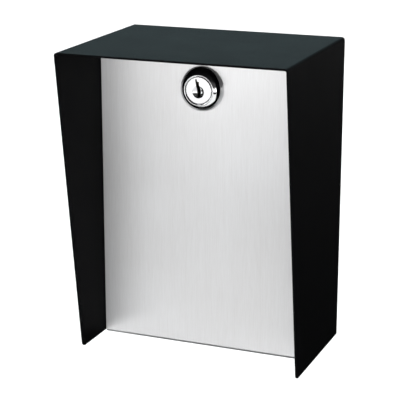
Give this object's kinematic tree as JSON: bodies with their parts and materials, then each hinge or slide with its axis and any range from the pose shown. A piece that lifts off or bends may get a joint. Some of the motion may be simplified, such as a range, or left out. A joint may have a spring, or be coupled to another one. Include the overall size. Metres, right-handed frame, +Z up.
{
  "type": "ashtray bin",
  "caption": "Wall-mounted ashtray bin: black hooded housing, slot behind the hood lip, brushed drop-down door with a cam lock, lift-out ash liner.",
  "frame": {"origin": "on the wall plane, at the centre of the four fixing holes", "axes": "+Z up, -Y out of the wall towards the user, +X to the user's right"},
  "size_m": [0.114, 0.0865, 0.1548],
  "materials": {
    "black_powder_coat": "fine-textured semi-matt powder coat",
    "brushed_stainless": "vertical brushed grain",
    "polished_chrome": "mirror polished",
    "lock_face_nickel": "satin nickel",
    "lock_brass": "plain machined",
    "zinc_plate": "bright zinc plate",
    "plain_steel": "plain rolled stainless",
    "galvanised_steel": "galvanised, dull spangle",
    "black_rubber": "moulded, matt"
  },
  "bodies": {
    "housing": {"hood_shell": "black_powder_coat", "back_panel": "black_powder_coat", "floor_panel": "black_powder_coat", "hinge_fixed_leaf": "plain_steel", "hinge_pin": "plain_steel", "hinge_rivets": "plain_steel", "jamb_left": "black_powder_coat", "jamb_right": "black_powder_coat", "door_bumpers": "black_rubber", "keeper_rail": "black_powder_coat", "ash_bucket": "galvanised_steel"},
    "door": {"door_panel": "brushed_stainless", "ash_ramp": "brushed_stainless", "hinge_moving_leaf": "plain_steel", "lock_body": "polished_chrome", "lock_washer": "zinc_plate", "lock_nut": "zinc_plate"},
    "lock_cylinder": {"lock_plug": "lock_face_nickel", "lock_wafers": "lock_brass", "stop_washer": "zinc_plate", "lock_cam": "zinc_plate", "cam_washer": "zinc_plate", "cam_screw": "zinc_plate"},
    "bail": {"bucket_bail": "zinc_plate"}
  },
  "joints": [
    {"name": "door_hinge", "type": "hinge", "parent": "housing", "child": "door", "pos_m": [0, -0.0366, -0.0737], "axis": [1, 0, 0], "range_deg": [0, 105]},
    {"name": "lock_turn", "type": "hinge", "parent": "door", "child": "lock_cylinder", "pos_m": [-0.0015, -0.03, 0.05445], "axis": [0, 1, 0], "range_deg": [0, 90]},
    {"name": "bail_swing", "type": "hinge", "parent": "housing", "child": "bail", "pos_m": [0, -0.0204, 0.0155], "axis": [1, 0, 0], "range_deg": [-90, 180]}
  ]
}
